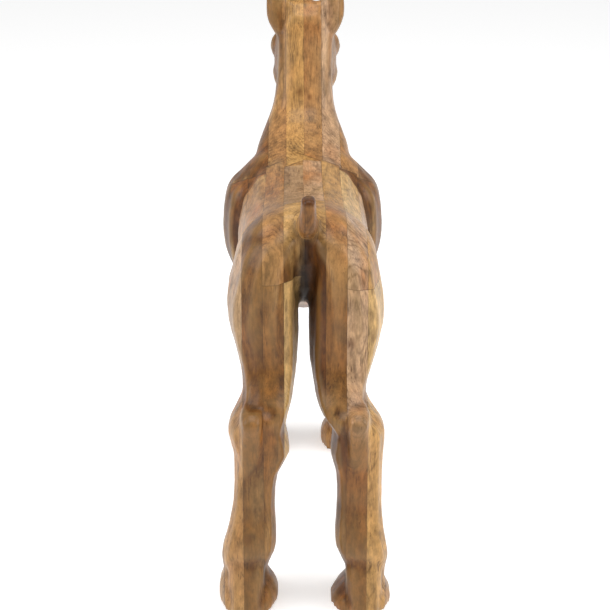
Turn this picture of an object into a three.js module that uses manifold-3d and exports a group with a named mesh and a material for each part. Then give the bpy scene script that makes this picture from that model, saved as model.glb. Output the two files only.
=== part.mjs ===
// A standing horse carved from one block of glued-up boards, on four flat hooves.
// Millimetres, +Z up. The horse faces +Y, so +X is its right side. While it is built,
// y counts forward from the back of the rump; the finished solid is then moved so that
// the origin lies on the ground under the middle of its box.
import * as THREE from "three";
import { mergeVertices } from "three/addons/utils/BufferGeometryUtils.js";
import Module from "manifold-3d";

// Points round a section, the radius from which a rounded mass is carved finer, and the
// rings between two neighbouring stations.
const BODY_SIDES = 18;
const LEG_SIDES = 12;
const SMALL_SIDES = 10;
const LARGE_RADIUS = 30;
const RINGS_PER_STATION = 2;

// Trunk stations: y, top z, bottom z, half width, squareness of the section.
const TRUNK = [
  [25, 456, 424, 38, 2.0],
  [31, 474, 406, 56, 2.0],
  [44, 484, 384, 68, 2.0],
  [80, 482, 358, 74, 2.1],
  [150, 465, 326, 77, 2.3],
  [245, 450, 281, 84, 2.4],
  [315, 447, 257, 86, 2.4],
  [385, 451, 256, 85, 2.4],
  [440, 458, 274, 77, 2.4],
  [480, 446, 304, 64, 2.4],
  [504, 420, 346, 40, 2.2],
];

// The neck leans over to the horse's right on its way up, and carries the head over there.
const HEAD_SIDE = 5;

// Neck stations on level sections: z, crest y, throat y, half width, squareness.
const NECK = [
  [396, 372, 504, 66, 2.4],
  [424, 352, 514, 66, 2.4],
  [446, 376, 522, 60, 2.6],
  [466, 420, 529, 50, 2.8],
  [489, 454, 540, 42, 2.9],
  [518, 469, 556, 39, 3.0],
  [552, 485, 566, 38.5, 3.0],
  [582, 500, 556, 38.5, 2.9],
  [606, 511, 546, 37, 2.8],
  [618, 518, 542, 33, 2.6],
  [624, 523, 538, 24, 2.3],
];

// The head's axis runs from the poll down to the muzzle.
const POLL = { y: 527, z: 592 };
const HEAD_SLOPE = THREE.MathUtils.degToRad(47.7);

// Head stations: distance from the poll, forehead side, jaw side, half width, squareness.
const HEAD = [
  [-24, 8, -6, 20, 2.2],
  [-14, 19, -19, 32, 2.4],
  [8, 26, -46, 38, 2.6],
  [34, 32, -57, 42, 2.7],
  [59, 33, -61, 44, 2.7],
  [85, 30, -57, 42, 2.6],
  [108, 27, -43, 35, 2.5],
  [132, 24, -31, 30, 2.5],
  [156, 22, -27, 29, 2.5],
  [174, 18, -27, 29, 2.5],
  [186, 9, -19, 21, 2.3],
];

// Leg stations on level sections: z, rear y, front y, then the near and far edge from the
// middle plane on the left leg and on the right leg, and the squareness of the section.
const HIND_LEG = [
  [468, 28, 116, -6, 46, -6, 46, 2.2],
  [448, 9, 146, -7, 69, -7, 71, 2.3],
  [424, 0, 162, 3, 80, 3, 84, 2.5],
  [398, -4, 172, 5, 86, 5, 89, 2.6],
  [372, -4, 173, 6, 92, 5, 94, 2.8],
  [346, -3, 164, 7, 91, 5, 95, 3.0],
  [326, -1, 144, 7, 86, 5, 91, 3.1],
  [300, -3, 108, 9, 78, 6, 83, 3.1],
  [278, -14, 82, 12, 74, 10, 74, 3.0],
  [262, -27, 62, 15, 75, 14, 73, 2.9],
  [246, -36, 50, 20, 84, 21, 83, 2.9],
  [228, -37, 44, 23, 91, 33, 94, 2.9],
  [200, -34, 35, 18, 85, 30, 93, 2.9],
  [174, -33, 25, 32, 84, 37, 92, 2.9],
  [136, -35, 17, 36, 86, 38, 92, 2.8],
  [104, -42, 15, 35, 92, 36, 94, 2.8],
  [82, -46, 16, 35, 98, 37, 98, 2.7],
  [64, -40, 19, 40, 101, 43, 100, 2.7],
  [46, -30, 22, 45, 99, 49, 98, 2.7],
  [36, -32, 26, 44, 100, 53, 97, 2.6],
  [26, -40, 32, 37, 104, 48, 97, 2.6],
  [11, -48, 38, 32, 105, 35, 104, 2.6],
  [0, -49, 40, 35, 103, 30, 104, 2.6],
];

const FORE_LEG = [
  [446, 386, 422, 34, 54, 34, 54, 2.4],
  [430, 364, 446, 22, 71, 22, 71, 2.5],
  [412, 355, 458, 16, 88, 16, 88, 2.6],
  [397, 350, 465, 14, 101, 14, 101, 2.8],
  [370, 345, 471, 12, 108, 12, 108, 2.9],
  [330, 349, 467, 13, 109, 13, 109, 2.8],
  [300, 358, 454, 18, 103, 18, 103, 2.7],
  [262, 371, 441, 26, 88, 26, 88, 2.7],
  [222, 380, 434, 31, 82, 31, 82, 2.8],
  [198, 377, 441, 30, 84, 30, 84, 2.8],
  [174, 379, 440, 32, 82, 32, 82, 2.8],
  [150, 386, 433, 36, 79, 36, 79, 2.8],
  [116, 388, 430, 38, 76, 38, 76, 2.8],
  [86, 379, 434, 34, 80, 34, 80, 2.7],
  [50, 394, 444, 36, 78, 36, 78, 2.6],
  [36, 393, 450, 35, 83, 35, 83, 2.6],
  [26, 388, 458, 29, 92, 29, 92, 2.6],
  [11, 384, 466, 26, 96, 26, 96, 2.6],
  [0, 384, 467, 27, 95, 27, 95, 2.6],
];

// Ear stations on level sections: z, rear y, front y, inner and outer edge, squareness.
const EAR = [
  [568, 513, 541, 17, 35, 2.2],
  [590, 511, 546, 20, 49, 2.2],
  [606, 515, 546, 22, 54, 2.2],
  [628, 521, 545, 23, 54, 2.2],
  [648, 526, 545, 28, 52, 2.1],
  [662, 531, 544, 35, 49, 2.0],
  [671, 535, 542, 40, 46, 2.0],
];
const EAR_HOLLOW = { at: [40, 552, 634], radii: [9, 14, 25] };

// Docked tail: z, rear y, front y, side to side edges, squareness.
const TAIL = [
  [464, -2, 44, -7, 13, 2.4],
  [472, -14, 42, -9, 15, 2.6],
  [481, -21, 34, -9, 15, 3.0],
  [497, -25, 6, -6, 13, 3.2],
  [518, -29, -2, -4, 12, 3.6],
];

// The tuft between the ears.
const FORELOCK = [
  [600, 524, 556, -16, 17, 2.2],
  [622, 530, 556, -16, 15, 2.2],
  [640, 537, 553, -12, 11, 2.1],
  [648, 541, 550, -6, 6, 2.0],
];

// Muscles stand out as rounded masses, the same on both sides: centre and radii.
const MUSCLES = {
  shoulder: { at: [64, 404, 346], radii: [41, 58, 72] },
  breast: { at: [31, 462, 374], radii: [43, 44, 62] },
  stifle: { at: [55, 112, 352], radii: [39, 62, 58] },
};

// Forms of the head, placed on its axis: distance from the poll, height, side, radii.
const CHEEK = { along: 80, up: -24, side: 18, radii: [28.5, 36, 34] };
const EYE = { along: 58, up: 5, side: 37, radii: [13, 23, 17] };
const BROW = { along: 48, up: 14, side: 26, radii: [17, 30, 16] };
const NOSTRIL = { along: 176, up: 6, side: 27, radii: [7, 9, 6] };
const MOUTH = { along: 184, up: -10, length: 62, width: 90, opening: 3.2, depth: 3.5 };

// The tendon down the back of each hind leg: z, rear y, front y, near and far edge, squareness.
const TENDON = [
  [263, -40, 0, 51, 72, 3.0],
  [255, -50, 0, 48, 76, 3.2],
  [246, -50, 0, 48, 76, 3.2],
  [233, -45, 0, 48, 77, 3.2],
  [208, -40, 0, 49, 78, 3.2],
  [174, -32, 0, 51, 78, 3.0],
];

// The heels behind each hoof, down to the ground: rows as for the tendon. A fore heel lies
// further forward and closer to the middle.
const HEEL = [
  [92, -34, -4, 50, 90, 2.8],
  [66, -41, -4, 48, 92, 2.8],
  [26, -51, -4, 50, 93, 2.8],
  [0, -57, -4, 51, 92, 2.8],
];
const FORE_HEEL = { forward: 431, inward: 10.5 };

// The hollow beside the point of the hock.
const HOCK_HOLLOW = { at: [38, -40, 262], radii: [9, 18, 13] };

// Boards are matched for colour, and the carving is sealed with a satin lacquer.
const WOOD = new THREE.MeshStandardMaterial({ color: 0x9a7248, roughness: 0.45, metalness: 0 });

const wasm = await Module();
wasm.setup();

// A closed geometry becomes a solid that can be joined and cut.
function solid(geometry) {
  const plain = geometry.clone();
  plain.deleteAttribute("normal");
  plain.deleteAttribute("uv");
  const welded = mergeVertices(plain, 1e-4);
  const mesh = new wasm.Mesh({
    numProp: 3,
    vertProperties: new Float32Array(welded.attributes.position.array),
    triVerts: new Uint32Array(welded.index.array),
  });
  return new wasm.Manifold(mesh);
}

// A smooth table: the stations' columns are read at any place between the rows.
function smoothStations(rows) {
  const places = rows.map((row, index) => index);
  const track = new THREE.CubicInterpolant(places, rows.flat(), rows[0].length);
  const count = (rows.length - 1) * RINGS_PER_STATION;
  const stations = [];
  for (let ring = 0; ring <= count; ring += 1) {
    const place = Math.min(ring / RINGS_PER_STATION, rows.length - 1);
    stations.push(Array.from(track.evaluate(place)));
  }
  return stations;
}

// A unit superellipse: squareness 2 is an ellipse, and higher values have fuller corners.
function sectionOutline(sides, squareness) {
  const outline = [];
  for (let side = 0; side < sides; side += 1) {
    const turn = ((side + 0.5) / sides) * Math.PI * 2;
    const across = Math.cos(turn);
    const up = Math.sin(turn);
    const size = (Math.abs(across) ** squareness + Math.abs(up) ** squareness) ** (1 / squareness);
    outline.push([across / size, up / size]);
  }
  return outline;
}

// Rings of equal count are skinned in order and closed with a fan at both ends.
function skin(rings) {
  const sides = rings[0].length;
  const points = rings.flat();
  const faces = [];
  for (let ring = 0; ring + 1 < rings.length; ring += 1) {
    for (let side = 0; side < sides; side += 1) {
      const next = (side + 1) % sides;
      const near = ring * sides;
      const far = near + sides;
      faces.push(near + side, near + next, far + next);
      faces.push(near + side, far + next, far + side);
    }
  }
  for (const end of [0, rings.length - 1]) {
    const middle = new THREE.Vector3();
    rings[end].forEach((point) => middle.addScaledVector(point, 1 / sides));
    const hub = points.push(middle) - 1;
    for (let side = 0; side < sides; side += 1) {
      const here = end * sides + side;
      const next = end * sides + ((side + 1) % sides);
      faces.push(...(end === 0 ? [hub, next, here] : [hub, here, next]));
    }
  }
  const geometry = new THREE.BufferGeometry().setFromPoints(points);
  geometry.setIndex(faces);
  return geometry;
}

// Level sections, listed from the top down or from the bottom up.
function levelLoft(rows, sides) {
  const rings = smoothStations(rows).map(([z, rear, front, left, right, squareness]) =>
    sectionOutline(sides, squareness).map(([across, up]) => new THREE.Vector3(
      (left + right) / 2 + ((right - left) / 2) * across,
      (rear + front) / 2 + ((front - rear) / 2) * up,
      z,
    )));
  const rising = rows[0][0] < rows[rows.length - 1][0];
  return solid(skin(rising ? rings : rings.reverse()));
}

// Upright sections across the body, one behind the other.
function trunk() {
  const rings = smoothStations(TRUNK).map(([y, top, bottom, half, squareness]) =>
    sectionOutline(BODY_SIDES, squareness).map(([across, up]) => new THREE.Vector3(
      -half * across,
      y,
      (top + bottom) / 2 + ((top - bottom) / 2) * up,
    )));
  return solid(skin(rings));
}

function neck() {
  const foot = NECK[0][0];
  const rows = NECK.map(([z, rear, front, half, squareness]) => {
    const lean = HEAD_SIDE * THREE.MathUtils.smoothstep(z, foot, POLL.z);
    return [z, rear, front, lean - half, lean + half, squareness];
  });
  return levelLoft(rows, BODY_SIDES);
}

// A place on the head, given along its axis, up towards the forehead, and to the side.
function onHead(along, up, side) {
  const forward = Math.cos(HEAD_SLOPE);
  const down = Math.sin(HEAD_SLOPE);
  return new THREE.Vector3(
    HEAD_SIDE + side,
    POLL.y + along * forward + up * down,
    POLL.z - along * down + up * forward,
  );
}

// The head, or the wood that is left inside it below a groove of the given depth.
function head(depth = 0) {
  const rings = smoothStations(HEAD).map(([along, top, bottom, half, squareness]) =>
    sectionOutline(BODY_SIDES, squareness).map(([across, up]) => onHead(
      along - depth,
      (top + bottom) / 2 + ((top - bottom) / 2 - depth) * up,
      (depth - half) * across,
    )));
  return solid(skin(rings));
}

function leg(rows, side) {
  const first = side < 0 ? 3 : 5;
  const stations = rows.map((row) => {
    const near = row[first] * side;
    const far = row[first + 1] * side;
    return [row[0], row[1], row[2], Math.min(near, far), Math.max(near, far), row[7]];
  });
  return levelLoft(stations, LEG_SIDES);
}

function bothSides(shape) {
  return [-1, 1].map((side) => shape(side));
}

function ellipsoid(centre, radii, tilt = 0) {
  const large = Math.max(...radii) > LARGE_RADIUS;
  const geometry = new THREE.SphereGeometry(1, large ? 14 : 10, large ? 8 : 6);
  geometry.scale(...radii);
  geometry.rotateX(tilt);
  geometry.translate(centre.x, centre.y, centre.z);
  return solid(geometry);
}

function muscle({ at, radii }, side) {
  return ellipsoid(new THREE.Vector3(at[0] * side, at[1], at[2]), radii);
}

function headForm({ along, up, side, radii }, hand) {
  return ellipsoid(onHead(along, up, side * hand), radii, -HEAD_SLOPE);
}

// A level loft listed for the right side of a middle, and turned over for the left side.
function sideLoft(rows, side, middle = 0) {
  const stations = rows.map(([z, rear, front, inner, outer, squareness]) => {
    const edges = [middle + inner * side, middle + outer * side].sort((a, b) => a - b);
    return [z, rear, front, ...edges, squareness];
  });
  return levelLoft(stations, SMALL_SIDES);
}

function ear(side) {
  const { at, radii } = EAR_HOLLOW;
  const hollow = ellipsoid(new THREE.Vector3(HEAD_SIDE + at[0] * side, at[1], at[2]), radii);
  return sideLoft(EAR, side, HEAD_SIDE).subtract(hollow);
}

// A groove of even depth between the lips, round the front of the muzzle.
function mouthLine() {
  const geometry = new THREE.BoxGeometry(MOUTH.width, MOUTH.length, MOUTH.opening);
  geometry.rotateX(-HEAD_SLOPE);
  const place = onHead(MOUTH.along, MOUTH.up, 0);
  geometry.translate(place.x, place.y, place.z);
  return solid(geometry).subtract(head(MOUTH.depth));
}

function foreHeel(side) {
  const { forward, inward } = FORE_HEEL;
  const rows = HEEL.map(([z, rear, front, inner, outer, squareness]) =>
    [z, rear + forward, front + forward, inner - inward, outer - inward, squareness]);
  return sideLoft(rows, side);
}

const masses = [
  trunk(),
  neck(),
  head(),
  levelLoft(TAIL, SMALL_SIDES),
  levelLoft(FORELOCK, SMALL_SIDES),
  ...bothSides((side) => leg(HIND_LEG, side)),
  ...bothSides((side) => leg(FORE_LEG, side)),
  ...bothSides((side) => sideLoft(TENDON, side)),
  ...bothSides((side) => sideLoft(HEEL, side)),
  ...bothSides(foreHeel),
  ...bothSides(ear),
  ...Object.values(MUSCLES).flatMap((mass) => bothSides((side) => muscle(mass, side))),
  ...[CHEEK, EYE, BROW].flatMap((form) => bothSides((side) => headForm(form, side))),
];

const cuts = [
  mouthLine(),
  ...bothSides((side) => headForm(NOSTRIL, side)),
  ...bothSides((side) => muscle(HOCK_HOLLOW, side)),
];

const joined = masses.reduce((whole, mass) => whole.add(mass));
const carved = cuts.reduce((whole, cut) => whole.subtract(cut), joined);

// The carved solid as a mesh, standing on the ground with its box centred on the origin.
function standingGeometry(shape) {
  const mesh = shape.getMesh();
  const geometry = new THREE.BufferGeometry();
  geometry.setAttribute("position", new THREE.BufferAttribute(new Float32Array(mesh.vertProperties), 3));
  geometry.setIndex(new THREE.BufferAttribute(new Uint32Array(mesh.triVerts), 1));
  geometry.computeBoundingBox();
  const box = geometry.boundingBox;
  const middle = box.getCenter(new THREE.Vector3());
  geometry.translate(-middle.x, -middle.y, -box.min.z);
  geometry.computeVertexNormals();
  return geometry;
}

const horse = new THREE.Mesh(standingGeometry(carved), WOOD);
horse.name = "carved_horse";

const group = new THREE.Group();
group.add(horse);

export default group;
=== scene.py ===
# %% [markdown]
# # A carved horse of glued-up boards
#
# The object is a standing horse, carved from one thick block. The block was glued up from upright
# boards about 24 mm thick, so every surface shows stripes of light and dark wood that run through
# body, neck and legs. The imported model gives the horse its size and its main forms. This script turns
# those faceted forms into a hand-carved surface, cuts the finer carving into it, and finishes the wood.

# %% Load the frame
import math

import bpy
import numpy as np
from mathutils import Euler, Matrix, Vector, noise


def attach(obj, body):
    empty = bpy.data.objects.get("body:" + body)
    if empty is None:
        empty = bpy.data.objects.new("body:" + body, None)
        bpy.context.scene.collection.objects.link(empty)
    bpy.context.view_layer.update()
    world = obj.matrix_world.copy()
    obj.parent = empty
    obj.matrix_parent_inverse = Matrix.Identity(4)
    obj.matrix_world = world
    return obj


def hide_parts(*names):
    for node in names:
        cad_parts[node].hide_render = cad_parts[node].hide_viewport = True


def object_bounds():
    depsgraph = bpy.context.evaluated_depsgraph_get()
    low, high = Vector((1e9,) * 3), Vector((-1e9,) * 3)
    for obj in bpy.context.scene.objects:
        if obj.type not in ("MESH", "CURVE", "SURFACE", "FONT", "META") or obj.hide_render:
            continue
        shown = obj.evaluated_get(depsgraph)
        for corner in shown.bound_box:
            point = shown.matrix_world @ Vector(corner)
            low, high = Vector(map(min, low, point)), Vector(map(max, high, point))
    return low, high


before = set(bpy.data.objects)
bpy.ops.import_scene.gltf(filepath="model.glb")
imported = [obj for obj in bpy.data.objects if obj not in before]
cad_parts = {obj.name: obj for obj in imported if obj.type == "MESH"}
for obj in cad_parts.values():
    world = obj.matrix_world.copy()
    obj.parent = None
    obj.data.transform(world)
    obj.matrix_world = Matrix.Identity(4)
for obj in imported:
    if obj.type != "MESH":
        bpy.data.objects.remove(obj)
cad_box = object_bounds()
low, high = cad_box
print("the horse measures", [round(size, 4) for size in high - low])

# %% [markdown]
# ## Where the horse's parts are
#
# The carving is easiest to place by distances that a carver would use: how far out from the middle,
# how far forward of the rump's back, how high above the ground. The middle of the horse's box is the
# origin, so one value, the rump's place behind the origin, turns those distances into scene places.

# %% Places on the horse
RUMP_Y = -0.3009
MM = 0.001


def spot(side, forward, height):
    """A place in metres, given in millimetres from the middle, the rump and the ground."""
    return Vector((side * MM, RUMP_Y + forward * MM, height * MM))


print("the rump's back is at", [round(value, 4) for value in spot(0, 0, 0)])

# %% [markdown]
# ## The camera
#
# The picture is taken from behind the horse and a little above it, with a long lens. A long lens keeps
# the near hooves and the far head at nearly the same scale. The camera stands a finger's breadth to the
# left of the horse's line and is turned a little to the right, so the shoulders sit a little to the left.

# %% Camera
CAMERA_PLACE = (-14.7, -1800, 1111)
CAMERA_PITCH = math.radians(22)
CAMERA_TURN = 0.0082
FOCAL_PIXELS = 1690
FRAME_PIXELS = 610

camera_data = bpy.data.cameras.new("studio_camera")
camera_data.sensor_width = 36
camera_data.lens = camera_data.sensor_width * FOCAL_PIXELS / FRAME_PIXELS
camera_data.dof.use_dof = False
camera = bpy.data.objects.new("studio_camera", camera_data)
camera.location = spot(*CAMERA_PLACE)
camera.rotation_euler = Euler((math.pi / 2 - CAMERA_PITCH, 0, -CAMERA_TURN))
bpy.context.scene.collection.objects.link(camera)
bpy.context.scene.camera = camera
print("lens", round(camera_data.lens, 1), "mm")

# %% [markdown]
# ## From facets to a skin
#
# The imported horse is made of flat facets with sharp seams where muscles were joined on. A voxel remesh
# wraps it in an even skin of small quads. Even quads are what the later steps need: they can be
# smoothed by the same amount everywhere, and any point of them can be pushed in or pulled out.
# Subdividing the facets would be another way, but it would keep their uneven layout and the seams.

# %% An even skin
VOXEL = 0.0032


def even_skin(node, name, voxel):
    """A new object with the node's shape, wrapped in quads of one size."""
    wrapped = bpy.data.objects.new(name, node.data.copy())
    bpy.context.scene.collection.objects.link(wrapped)
    wrap = wrapped.modifiers.new("wrap", "REMESH")
    wrap.mode = "VOXEL"
    wrap.voxel_size = voxel
    bpy.context.view_layer.update()
    result = wrapped.evaluated_get(bpy.context.evaluated_depsgraph_get())
    wrapped.data = bpy.data.meshes.new_from_object(result)
    wrapped.modifiers.clear()
    wrapped.data.materials.clear()
    return wrapped


horse = even_skin(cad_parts["carved_horse"], "horse_carving", VOXEL)
count = len(horse.data.vertices)
print(count, "points,", 2 * len(horse.data.polygons), "triangles")

# %% [markdown]
# ## A smoother that keeps the outline
#
# Plain smoothing shrinks a shape. Taubin's way takes one step in and one slightly larger step out, so
# facets and seams melt away while the outline stays. The closer the two steps are, the wider the bumps
# that it takes out. Every point has a weight of its own, so hooves can stay crisp beside a soft belly.

# %% Points, neighbours and weights
points = np.empty(count * 3)
horse.data.vertices.foreach_get("co", points)
points = points.reshape(-1, 3)
edges = np.empty(len(horse.data.edges) * 2, int)
horse.data.edges.foreach_get("vertices", edges)
ends = np.concatenate([edges.reshape(-1, 2), edges.reshape(-1, 2)[:, ::-1]])
degree = np.bincount(ends[:, 0], minlength=count)


def neighbour_mean(values):
    """The mean of each point's neighbours, for a list of numbers or of places."""
    columns = values.reshape(count, -1).T
    sums = [np.bincount(ends[:, 0], column[ends[:, 1]], count) for column in columns]
    return (np.stack(sums, 1) / degree[:, None]).reshape(values.shape)


def soften(places, weight, rounds, step_in, step_out):
    """Taubin smoothing, scaled at each point by its weight."""
    for _ in range(rounds):
        for stride in (step_in, step_out):
            places = places + stride * weight[:, None] * (neighbour_mean(places) - places)
    return places


def nearness(places, centre, radii):
    """1 at the centre, falling smoothly to 0 at the edge of an ellipsoid given in millimetres."""
    reach = (places - np.array(spot(*centre))) / (np.array(radii) * MM)
    return np.clip(1 - (reach ** 2).sum(1), 0, 1)


def ramp(values, start, stop):
    """0 before start, 1 after stop, and a smooth step between."""
    share = np.clip((values - start) / (stop - start), 0, 1)
    return share * share * (3 - 2 * share)


print("each point has about", round(float(degree.mean()), 2), "neighbours")

# %% [markdown]
# ## Smoothing the seams
#
# The whole horse is smoothed once, the trunk and thighs fully and the head, hocks and hooves lightly.
# Where big masses run into each other, at the withers, the poll, the flank and the chest, a second pass
# with closer steps blends them into one flowing surface. The flat soles keep their place.

# %% Smooth and blend
SEAMS = [
    ((0, 385, 452), (120, 80, 50)),
    ((5, 512, 606), (46, 34, 44)),
    ((0, 60, 470), (120, 90, 60)),
    ((-72, 140, 400), (60, 80, 110)),
    ((72, 140, 400), (60, 80, 110)),
    ((0, 490, 385), (130, 70, 110)),
]

height = points[:, 2]
forward = points[:, 1] - RUMP_Y
off_sole = ramp(height, 0.0005, 0.005)
on_head = ramp(forward, 0.505, 0.545) * ramp(height, 0.43, 0.46)
low_legs = 1 - ramp(height, 0.255, 0.300)
at_tail = nearness(points, (3, -10, 498), (30, 34, 44)) > 0
crisp = np.maximum(np.maximum(on_head, low_legs), at_tail)
points = soften(points, off_sole * (1 - crisp), 60, 0.60, -0.62)
points = soften(points, off_sole * 0.8, 9, 0.55, -0.57)
seam_weight = np.max([nearness(points, *seam) for seam in SEAMS], axis=0) ** 0.5
points = soften(points, seam_weight * off_sole * (1 - at_tail), 130, 0.62, -0.626)
print("smoothed; height is now", round(points[:, 2].max(), 4))

# %% [markdown]
# ## Chisel work
#
# The last forms are cut with two tools. A gouge follows a line of places and takes out a rounded groove.
# A rasp leaves slow, shallow unevenness everywhere, so that light breaks over the surface as it does
# over hand work. Both move points along the surface's own direction. Sculpting by hand with a brush
# would do as well, but a short list of places can be read, moved and cut again.

# %% A gouge
def directions(places):
    """The outward direction of the surface at each point."""
    horse.data.vertices.foreach_set("co", places.ravel())
    horse.data.update()
    normals = np.empty(count * 3)
    horse.data.vertex_normals.foreach_get("vector", normals)
    return normals.reshape(-1, 3)


def line_distance(places, path):
    """The distance of each point from a path of places given in millimetres."""
    nearest = np.full(count, np.inf)
    corners = [np.array(spot(*corner)) for corner in path]
    for start, stop in zip(corners, corners[1:]):
        span = stop - start
        share = np.clip((places - start) @ span / (span @ span), 0, 1)
        nearest = np.minimum(nearest, np.linalg.norm(places - start - share[:, None] * span, axis=1))
    return nearest


def gouge(places, path, width, depth):
    """Pushes the surface in along a path: width and depth in millimetres."""
    inside = np.clip(1 - line_distance(places, path) / (width * MM), 0, 1)
    profile = inside * inside * (3 - 2 * inside)
    return places - directions(places) * (profile * depth * MM)[:, None]


# %% Grooves
CLEFT = [(1, 14, 463), (1, 28, 448), (1, 26, 430)]
INNER_TENDON = [(47, -40, 250), (47, -38, 216), (48, -34, 180)]
OUTER_TENDON = [(80, -40, 244), (80, -38, 216)]
EAR_ROOT = [(25, 520, 622), (27, 512, 603), (32, 511, 589)]
HEAD_SIDE = 5


def on_side(path, side, middle=0):
    """A path on the left (-1) or the right (1) of a middle line."""
    return [(middle + side * out, forward, height) for out, forward, height in path]


before = points
points = gouge(points, CLEFT, 8, 3)
for side in (-1, 1):
    points = gouge(points, on_side(INNER_TENDON, side), 5, 1.2)
    points = gouge(points, on_side(OUTER_TENDON, side), 5, 0.8)
    points = gouge(points, on_side(EAR_ROOT, side, HEAD_SIDE), 5, 2.5)
cut = np.linalg.norm(points - before, axis=1)
print("grooves up to", round(float(cut.max() / MM), 1), "mm deep")

# %% Rasp marks
RASP_DEPTH = 0.45


def rasp(place):
    """Slow unevenness at one place, from two sizes of noise."""
    return noise.noise(place * 42) + 0.5 * noise.noise(place * 95)


rough = np.array([rasp(Vector(place)) for place in points])
points = points + directions(points) * (rough * RASP_DEPTH * MM * off_sole)[:, None]
print("rasp marks up to", round(float(np.abs(rough).max() * RASP_DEPTH), 2), "mm")

# %% [markdown]
# ## Hollows and edges
#
# Hollows are darkened with painted shade, and edges wear lighter. How far each point lies below or above
# its blurred surroundings tells the two apart. The value is stored with the points, for the finish to use.

# %% Store the hollows
DEEPEST_HOLLOW = 1.6 * MM

blurred = points
for _ in range(14):
    blurred = neighbour_mean(blurred)
hollow = ((blurred - points) * directions(points)).sum(1) / DEEPEST_HOLLOW
hollow = np.clip(hollow, -1, 1)
for _ in range(2):
    hollow = neighbour_mean(hollow)
layer = horse.data.attributes.new("hollow", "FLOAT", "POINT")
layer.data.foreach_set("value", hollow)
horse.data.polygons.foreach_set("use_smooth", np.ones(len(horse.data.polygons), bool))
print("hollows from", round(float(hollow.min()), 2), "to", round(float(hollow.max()), 2))

# %% [markdown]
# ## Shader sums in plain Python
#
# A wood finish is mostly arithmetic: where a point lies in its board, how far it is from the heart of
# the tree, how close to a glue line. A small class wraps a node's output, so that such sums read like
# sums. Each operator adds one Math node; any other node comes from the one method below.

# %% A socket that can be calculated with
class Wire:
    """One output of a shader node."""

    def __init__(self, tree, socket=None):
        self.tree = tree
        self.socket = socket

    def node(self, kind, settings, sockets, output=0):
        """A new node: its settings come first, then the values or links of its sockets."""
        made = self.tree.nodes.new(kind)
        for name, value in settings.items():
            setattr(made, name, value)
        for key, value in sockets.items():
            if isinstance(value, Wire):
                self.tree.links.new(value.socket, made.inputs[key])
            else:
                made.inputs[key].default_value = value
        return Wire(self.tree, made.outputs[output])

    def math(self, operation, *values):
        """A Math node on numbers or wires."""
        return self.node("ShaderNodeMath", {"operation": operation}, dict(enumerate(values)))

    def __add__(self, other):
        return self.math("ADD", self, other)

    def __radd__(self, other):
        return self.math("ADD", other, self)

    def __sub__(self, other):
        return self.math("SUBTRACT", self, other)

    def __rsub__(self, other):
        return self.math("SUBTRACT", other, self)

    def __mul__(self, other):
        return self.math("MULTIPLY", self, other)

    def __rmul__(self, other):
        return self.math("MULTIPLY", other, self)

    def __truediv__(self, other):
        return self.math("DIVIDE", self, other)

    def __rtruediv__(self, other):
        return self.math("DIVIDE", other, self)

    def __pow__(self, other):
        return self.math("POWER", self, other)

    def __rpow__(self, other):
        return self.math("POWER", other, self)

    def __lt__(self, other):
        return self.math("LESS_THAN", self, other)

    def __gt__(self, other):
        return self.math("GREATER_THAN", self, other)

    def __abs__(self):
        return self.math("ABSOLUTE", self)


def step(value, start, stop):
    """0 at start, 1 at stop, smooth between."""
    settings = {"interpolation_type": "SMOOTHSTEP"}
    return value.node("ShaderNodeMapRange", settings, {0: value, 1: start, 2: stop, 3: 0.0, 4: 1.0})


def choose(mask, first, second):
    """The first number where the mask is 0, and the second where it is 1."""
    return mask.node("ShaderNodeMix", {"data_type": "FLOAT"}, {0: mask, 2: first, 3: second})


def blend(mask, first, second):
    """Two colours mixed by a mask."""
    return mask.node("ShaderNodeMix", {"data_type": "RGBA"}, {0: mask, 6: first, 7: second}, 2)


def vector(x, y, z):
    """Three numbers joined to one place."""
    return x.node("ShaderNodeCombineXYZ", {}, {0: x, 1: y, 2: z})


def shaded(colour, strength):
    """A colour made darker or lighter by a grey strength, where 1 changes nothing."""
    settings = {"data_type": "RGBA", "blend_type": "MULTIPLY"}
    return colour.node("ShaderNodeMix", settings, {0: 1.0, 6: colour, 7: strength}, 2)


def tint(red, green, blue):
    """A colour as it looks on a screen, turned into the light values that a shader uses."""
    shares = [value / 255 for value in (red, green, blue)]
    return tuple(((share + 0.055) / 1.055) ** 2.4 for share in shares) + (1.0,)


# %% [markdown]
# ## Which board is which
#
# The boards stand side by side, so a point's distance from the middle gives its board. The horse is
# four blocks of such boards: hindquarters and legs with the grain upright, the back with the grain
# along the body, the forehand upright again, and the neck with the grain along the neck. Boards end
# at slightly different places, as they do when a carver uses up offcuts. The boards could be separate
# meshes, but they were glued before they were carved, so one shader that knows its place is simpler.

# %% Boards and blocks
BOARD = 0.0244
FIRST_BOARD = -5
BOARD_COUNT = 10
NECK_SHIFT = 0.0024
HIND_BLOCK_END = 96
FORE_BLOCK_START = 344
NECK_FOOT_FORWARD = 352
NECK_FOOT_HEIGHT = 0.446
NECK_CUT = (0.293, 0.956)

wood = bpy.data.materials.new("laminated_wood")
wood.use_nodes = True
shader = wood.node_tree.nodes["Principled BSDF"]
start = Wire(wood.node_tree)
place = start.node("ShaderNodeTexCoord", {}, {}, "Object")
x, y, z = (start.node("ShaderNodeSeparateXYZ", {}, {0: place}, axis) for axis in range(3))


def ahead(forward):
    """How far a point lies ahead of a place that is given from the rump, in millimetres."""
    return y - (RUMP_Y + forward * MM)


def chance(value, offset):
    """A number between 0 and 1 that is fixed for each value."""
    seed = value * 3.7 + offset
    return start.node("ShaderNodeTexWhiteNoise", {"noise_dimensions": "1D"}, {"W": seed}, "Value")


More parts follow.
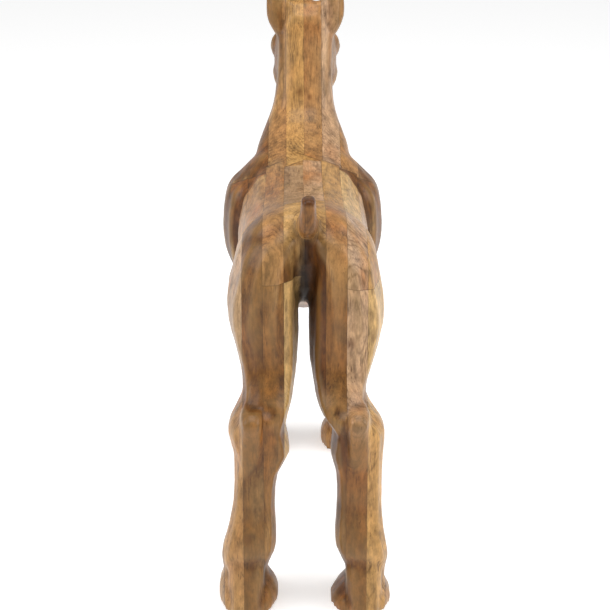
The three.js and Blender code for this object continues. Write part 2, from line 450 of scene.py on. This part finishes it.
rough_board = start.math("FLOOR", x / BOARD)
shift = chance(rough_board, 0.3) - 0.5
neck_slope = ahead(NECK_FOOT_FORWARD) * NECK_CUT[0] + (z - NECK_FOOT_HEIGHT) * NECK_CUT[1]
neck_joint = neck_slope + shift * 0.012 + abs(x) * 0.35 - 0.006
on_neck = neck_joint > 0.0
hind_joint = ahead(HIND_BLOCK_END) + shift * 0.05
on_hind = hind_joint < 0.0
fore_joint = ahead(FORE_BLOCK_START) + shift * 0.03
on_fore = (fore_joint > 0.0) * (1 - on_neck)

stack = (x - on_neck * NECK_SHIFT) / BOARD
board = start.math("FLOOR", stack)
within = stack - board
print(len(wood.node_tree.nodes), "nodes tell boards and blocks apart")

# %% [markdown]
# ## Tones
#
# Each block has its own row of boards, listed from the horse's left to its right. The names are shades
# of one hardwood: pale sapwood, honey and tan, a rosy and a greyish brown, and dark heartwood. A ramp
# with hard steps gives each board one flat tone, and a tone can be changed by its name.

# %% Tones of the boards
TONES = {
    "straw": tint(192, 154, 98),
    "honey": tint(174, 130, 74),
    "tan": tint(156, 112, 66),
    "rose": tint(176, 140, 106),
    "grey": tint(152, 121, 90),
    "rust": tint(156, 98, 48),
    "amber": tint(122, 80, 36),
    "brown": tint(106, 67, 27),
    "umber": tint(84, 47, 12),
}
RUMP = ["grey", "rose", "brown", "tan", "brown", "umber", "tan", "rose", "honey", "grey"]
THIGH = ["grey", "grey", "brown", "amber", "straw", "umber", "amber", "rose", "straw", "grey"]
CANNON = ["grey", "tan", "brown", "amber", "straw", "umber", "umber", "brown", "honey", "grey"]
BACK = ["brown", "tan", "tan", "tan", "grey", "rose", "honey", "straw", "rose", "grey"]
FORE = ["umber", "umber", "brown", "brown", "tan", "honey", "tan", "brown", "brown", "brown"]
NECK = ["brown", "brown", "brown", "tan", "honey", "tan", "rose", "tan", "brown", "brown"]


def board_tone(names):
    """One flat colour for each board of a block."""
    row = start.node("ShaderNodeValToRGB", {}, {0: (board - FIRST_BOARD + 0.5) / BOARD_COUNT})
    stops = row.socket.node.color_ramp
    stops.interpolation = "CONSTANT"
    while len(stops.elements) < BOARD_COUNT:
        stops.elements.new(1.0)
    for index, name in enumerate(names):
        stops.elements[index].position = index / BOARD_COUNT
        stops.elements[index].color = TONES[name]
    return row


print(len(TONES), "tones of wood")

# %% Boards that end in the thigh
THIGH_JOINT = 0.408

left_pair = (x > -2 * BOARD) * (x < 0.0)
right_pair = x > 2 * BOARD
jointed_boards = left_pair + right_pair
thigh_joint = z - THIGH_JOINT + right_pair * ((x - 0.050) * 0.26 + 0.004)
below_joint = choose(jointed_boards, 1 - step(z, 0.370, 0.440), thigh_joint < 0.0)
below_hock = 1 - step(z, 0.215, 0.290)
leg_tone = blend(below_hock, board_tone(THIGH), board_tone(CANNON))
hind_tone = blend(below_joint, board_tone(RUMP), leg_tone)
tone = blend(on_hind, board_tone(BACK), hind_tone)
tone = blend(on_fore, tone, board_tone(FORE))
tone = blend(on_neck, tone, board_tone(NECK))
print("the thigh boards end", round(THIGH_JOINT / MM), "mm above the ground")

# %% [markdown]
# ## Ears, tail and belly
#
# Some places keep a tone of their own: ears and cheeks are painted darker as shade, the croup round
# the dock is pale, the docked tail shows dark end grain on top, and the belly's middle boards are painted
# dark as the shade under the body. Each place is a mask made of heights and distances, because that needs
# no painting by hand.

# %% Places with their own tone and painted shade
head_middle = HEAD_SIDE * MM
# painted shade: the sides of the head, ears and cheeks, are darkened
head_side_shade = on_neck * (ahead(490) > 0.0) * step(abs(x - head_middle), 0.028, 0.034)
tone = blend(head_side_shade * choose(x > head_middle, 0.9, 0.5), tone, TONES["brown"])
by_the_dock = step(z, 0.446, 0.466) * on_hind * (abs(x) < BOARD)
tone = blend(by_the_dock * 0.85, tone, TONES["honey"])
on_tail = (z > 0.4635) * (ahead(20) < 0.0)
tone = blend(on_tail, tone, TONES["amber"])
tone = blend(on_tail * step(z, 0.510, 0.515), tone, TONES["umber"])
# painted shade: the belly's middle boards are darkened as the shade under the body
belly_shade = (1 - step(z, 0.305, 0.330)) * (1 - on_hind) * (abs(x) < BOARD)
tone = blend(belly_shade, tone, TONES["umber"])
print(len(wood.node_tree.nodes), "nodes give every place its tone")

# %% [markdown]
# ## Grain
#
# A board is a slice of a tree, so its figure is a set of rings round an axis along the grain. Every
# board takes its axis at another distance and slant, which gives straight lines on one and arches on
# the next. This wood is a wild-grained one: the rings wander, fade out and come back, and clouds of
# darker heartwood drift through the boards. Long thin noise makes the fibres, short noise the pores.
# All of it is counted in the board's own directions, so that the grain turns with the block.

# %% Grain directions
NECK_GRAIN = (0.45, 0.893)

block = on_hind * 1.0 + on_fore * 2.0 + on_neck * 3.0
piece = board + block * 13.0 + below_joint * jointed_boards * on_hind * 57.0
luck_a = chance(piece, 0.11)
luck_b = chance(piece, 0.47)
luck_c = chance(piece, 0.83)

upright = (on_hind + on_fore) * (1 - on_neck)
length = choose(on_neck, choose(upright, y, z), y * NECK_GRAIN[0] + z * NECK_GRAIN[1])
depth = choose(on_neck, choose(upright, z, y), y * NECK_GRAIN[1] - z * NECK_GRAIN[0])
print("the grain runs upright, along the body or along the neck")

# %% Fibres, pores and clouds
def grain(fine, stretch, detail=2.0, rough=0.5):
    """Noise in the board's own directions: how fine it is across, and how much longer along the grain."""
    across = (x + luck_c * 2.0) * fine
    inward = (depth + luck_b * 3.0) * fine
    along = (length + luck_a * 5.0) * (fine / stretch)
    sockets = {"Vector": vector(across, inward, along), "Scale": 1.0, "Detail": detail, "Roughness": rough}
    return start.node("ShaderNodeTexNoise", {}, sockets)


cloud = grain(20, 3.0, 3.0, 0.6)
figure = grain(75, 3.5, 4.0, 0.65)
mottle = grain(120, 1.6, 3.0, 0.7)
fibre = grain(420, 10.0, 2.0, 0.6)
pores = step(grain(640, 14.0, 1.0), 0.62, 0.74)
wander = grain(14, 2.2, 3.0, 0.6)
print(len(wood.node_tree.nodes), "nodes with six layers of noise")

# %% Rings
RINGS_PER_METRE = 300
RING_WANDER = 11.0

heart_x = x - board * BOARD + (luck_a - 0.5) * 0.14
heart_y = depth * 0.7 + (luck_c - 0.5) * 0.24 + length * (luck_b - 0.5) * 0.22
radius = start.math("SQRT", heart_x * heart_x + heart_y * heart_y)
phase = radius * RINGS_PER_METRE + wander * RING_WANDER
ring = (start.math("SINE", phase * math.tau) * 0.5 + 0.5) ** 3.0
ring = ring * step(figure * 0.5 + wander * 0.5, 0.42, 0.58)
print("rings about", round(1 / (RINGS_PER_METRE * MM), 1), "mm apart")

# %% [markdown]
# ## Knots
#
# A knot is where a branch grew. It is a small dark oval, and the wood round it is warmer and darker. Each
# is an oval round a chosen place, so it reaches a little way into the wood and shows on every face that
# it meets. The same kind of spot, long and narrow, makes the painted shade deep between the thighs.

# %% Knots
KNOTS = [
    ((-98, 350, 396), 11),
    ((-40, 300, 448), 6),
    ((-36, 312, 452), 4),
    ((-62, -3, 346), 9),
    ((-56, -3, 322), 6),
    ((54, -3, 336), 8),
    ((38, -3, 356), 9),
    ((-68, -43, 98), 9),
    ((-84, -45, 56), 7),
    ((66, -45, 90), 6),
    ((-4, 466, 512), 7),
    ((10, 462, 506), 5),
]


def spot_of(centre, size, squeeze=(1.0, 0.7, 0.7)):
    """1 at the middle of an oval spot and 0 at its ragged edge; it is longer where it is squeezed."""
    offset = start.node("ShaderNodeVectorMath", {"operation": "SUBTRACT"}, {0: place, 1: spot(*centre)})
    oval = start.node("ShaderNodeVectorMath", {"operation": "MULTIPLY"}, {0: offset, 1: squeeze})
    reach = start.node("ShaderNodeVectorMath", {"operation": "LENGTH"}, {0: oval}, "Value")
    ragged = reach + (figure - 0.5) * (size * 0.9 * MM)
    return 1 - step(ragged, 0.0, size * MM)


knots = spot_of(*KNOTS[0])
for knot in KNOTS[1:]:
    knots = start.math("MAXIMUM", knots, spot_of(*knot))
# painted shade: a long, narrow dark spot deep between the thighs
thigh_gap_shade = start.math("MINIMUM", spot_of((-1, 66, 400), 10, (1.0, 0.13, 0.14)) * 2.5, 1.0)
print(len(KNOTS), "knots")

# %% [markdown]
# ## Glue lines and butt joints
#
# A glue line is a hair of darker wood where two boards meet. Butt joints lie where a board ends and the
# next begins: across the thighs, at the loins and at the foot of the neck. They are thinner than the
# skin's quads, so they are drawn as colour and bump and not cut into the mesh.

# %% Joints
edge = (0.5 - abs(within - 0.5)) * BOARD
glue = (1 - step(edge, 0.0001, 0.0008)) * step(figure, 0.30, 0.62)


def joint_line(distance, where):
    """A thin dark line where a distance passes through zero."""
    return (1 - step(abs(distance), 0.0002, 0.0009)) * where


joints = joint_line(thigh_joint, on_hind * jointed_boards)
joints = joints + joint_line(hind_joint, 1 - on_neck) + joint_line(neck_joint, 1.0)
seams = start.math("MINIMUM", glue + joints * 0.8, 1.0)
print(BOARD_COUNT - 1, "glue lines and three kinds of butt joint")

# %% [markdown]
# ## The finish
#
# The horse has a satin lacquer over bare wood. The tone of the board comes first, then the clouds, then
# figure, mottling and fibres, which only make it lighter or darker so that each board keeps its hue. The
# rings, pores, knots, joints and hollows follow. The numbers are strengths that were judged.

# %% Colour
DARK = tint(74, 44, 20)
KNOT = tint(84, 42, 16)
GLUE = tint(48, 29, 15)
HOLLOW_SHADE = tint(36, 20, 8)
DEEP_SHADE = tint(30, 16, 6)

hollow_here = start.node("ShaderNodeAttribute", {"attribute_name": "hollow"}, {}, "Fac")
in_hollow = step(hollow_here, 0.04, 0.75)
on_edge = step(hollow_here, -0.1, -0.8)

colour = blend(step(cloud, 0.50, 0.72) * (luck_a * 0.6 + 0.3), tone, TONES["rust"])
colour = blend(step(cloud, 0.48, 0.26) * (luck_b * 0.4 + 0.2), colour, TONES["straw"])
light = 1.0 - (figure - 0.5) * 1.5 - (mottle - 0.5) * 1.6 - (fibre - 0.5) * 1.0
colour = shaded(colour, start.math("MAXIMUM", light, 0.3))
colour = blend(ring * (luck_c * 0.4 + 0.15), colour, DARK)
colour = blend(pores * 0.65, colour, DARK)
colour = blend(knots * 0.7, colour, KNOT)
colour = blend(seams * 0.6, colour, GLUE)
# painted shade: hollows and creases are darkened where shade would fall
colour = blend(in_hollow * 0.4, colour, HOLLOW_SHADE)
colour = blend(thigh_gap_shade * 0.92, colour, DEEP_SHADE)
colour = blend(on_edge * (1 - on_tail) * 0.2, colour, TONES["straw"])
print(len(wood.node_tree.nodes), "nodes make the colour")

# %% Surface
grain_height = fibre * 0.5 - pores * 0.5 - seams * 0.8 - ring * 0.2
relief = {"Strength": 0.25, "Distance": 0.0006, "Height": grain_height}
bump = start.node("ShaderNodeBump", {}, relief, "Normal")
roughness = 0.34 + fibre * 0.14 + in_hollow * 0.2
for name, wire in (("Base Color", colour), ("Roughness", roughness), ("Normal", bump)):
    wood.node_tree.links.new(wire.socket, shader.inputs[name])
shader.inputs["Specular IOR Level"].default_value = 0.22
shader.inputs["Coat Weight"].default_value = 0.15
shader.inputs["Coat Roughness"].default_value = 0.25
horse.data.materials.append(wood)
print("the wood has", len(wood.node_tree.nodes), "nodes")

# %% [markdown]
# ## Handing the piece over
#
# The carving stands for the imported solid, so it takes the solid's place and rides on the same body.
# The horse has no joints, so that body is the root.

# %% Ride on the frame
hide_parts("carved_horse")
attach(horse, "root")
print(horse.name, "rides on the root")

# %% [markdown]
# ## The studio
#
# The horse stands in a plain white studio. The pale floor is lit from below, so that it stays white with
# only a faint shadow. Big soft lights on both sides and one above brighten the flanks and the top line, and
# leave the faces that look at the camera darker, which lets the tones of the boards speak.

# %% Floor
FLOOR_SIZE = 16

bpy.ops.mesh.primitive_plane_add(size=FLOOR_SIZE, location=(0, 4, 0))
floor = bpy.context.object
floor.name = "studio_floor"
paint = bpy.data.materials.new("pale_floor")
paint.use_nodes = True
matt = paint.node_tree.nodes["Principled BSDF"].inputs
matt["Base Color"].default_value = (0.9, 0.9, 0.9, 1)
matt["Roughness"].default_value = 0.9
matt["Emission Color"].default_value = (1, 1, 1, 1)
matt["Emission Strength"].default_value = 0.42
floor.data.materials.append(paint)
print("the floor is", FLOOR_SIZE, "m wide")

# %% Lights
world = bpy.data.worlds.new("studio_world")
world.use_nodes = True
sky = world.node_tree.nodes["Background"].inputs
sky["Color"].default_value = (1, 1, 1, 1)
sky["Strength"].default_value = 0.46
bpy.context.scene.world = world


def softbox(name, place, aim, size, power):
    """A square area light at a place, turned to face its aim."""
    data = bpy.data.lights.new(name, "AREA")
    data.size = size
    data.energy = power
    lamp = bpy.data.objects.new(name, data)
    lamp.location = place
    lamp.rotation_euler = (Vector(aim) - Vector(place)).to_track_quat("-Z", "Y").to_euler()
    bpy.context.scene.collection.objects.link(lamp)


softbox("left", (-2.2, -0.7, 1.7), (0, -0.1, 0.3), 1.6, 29)
softbox("right", (2.2, -0.7, 1.7), (0, -0.1, 0.3), 1.6, 29)
softbox("top", (0, -0.4, 2.8), (0, 0, 0.3), 1.6, 28)
bpy.context.scene.view_settings.view_transform = "Standard"
print("three soft lights and a white sky")
